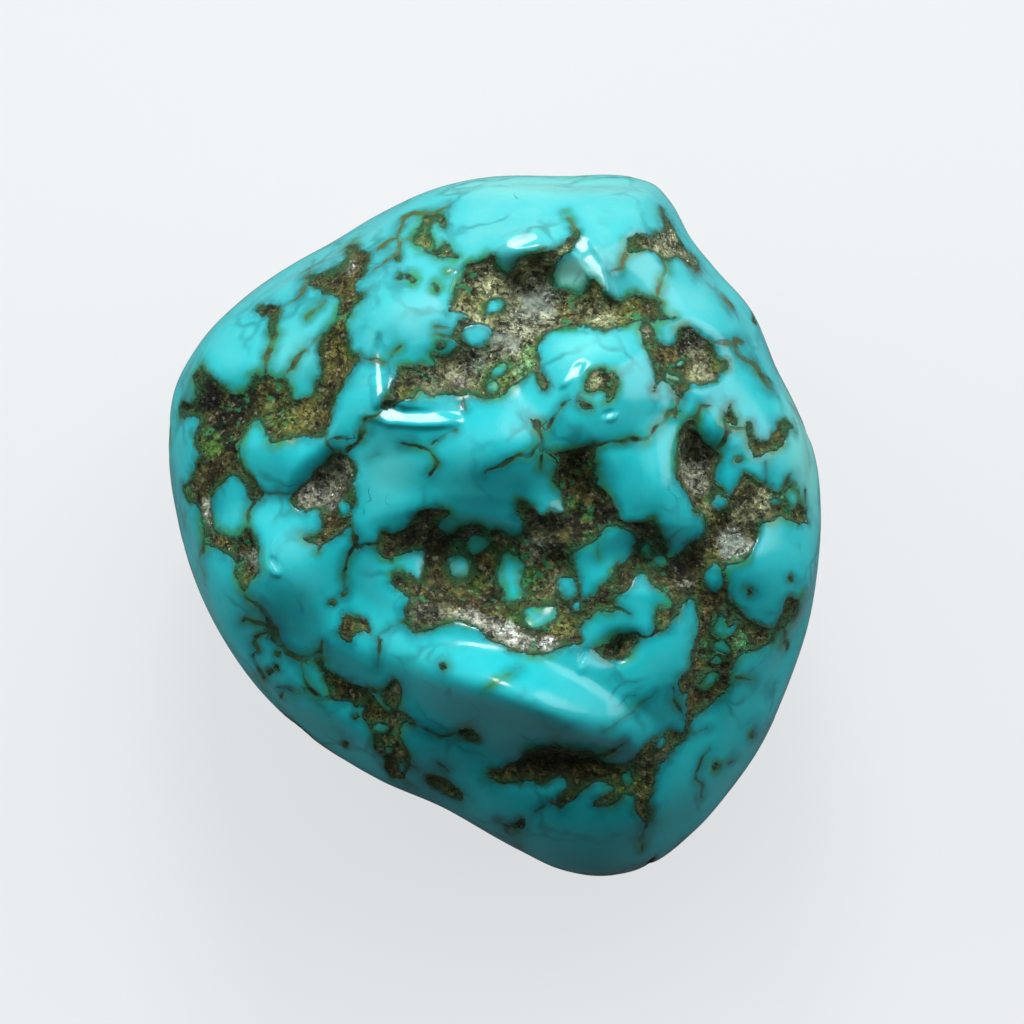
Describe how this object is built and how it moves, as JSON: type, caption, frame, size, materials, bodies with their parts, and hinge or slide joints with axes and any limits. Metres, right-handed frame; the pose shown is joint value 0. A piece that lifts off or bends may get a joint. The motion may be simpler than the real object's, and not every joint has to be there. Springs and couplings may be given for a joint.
{
  "type": "turquoise nugget",
  "caption": "Tumble-polished raw turquoise nugget with brown and grey matrix in its veins and hollows, lying on its back with its show face up.",
  "frame": {"origin": "on the resting surface, under the middle of the stone's box", "axes": "+Z up, out of the show face; +Y to the broad crown, along the stone's longest side; +X to the right of the show face with +Y upward"},
  "size_m": [0.028, 0.0302, 0.0202],
  "materials": {
    "turquoise": "polished, with dull brown matrix in its hollows"
  },
  "bodies": {
    "root": {"nugget": "turquoise"}
  },
  "joints": []
}
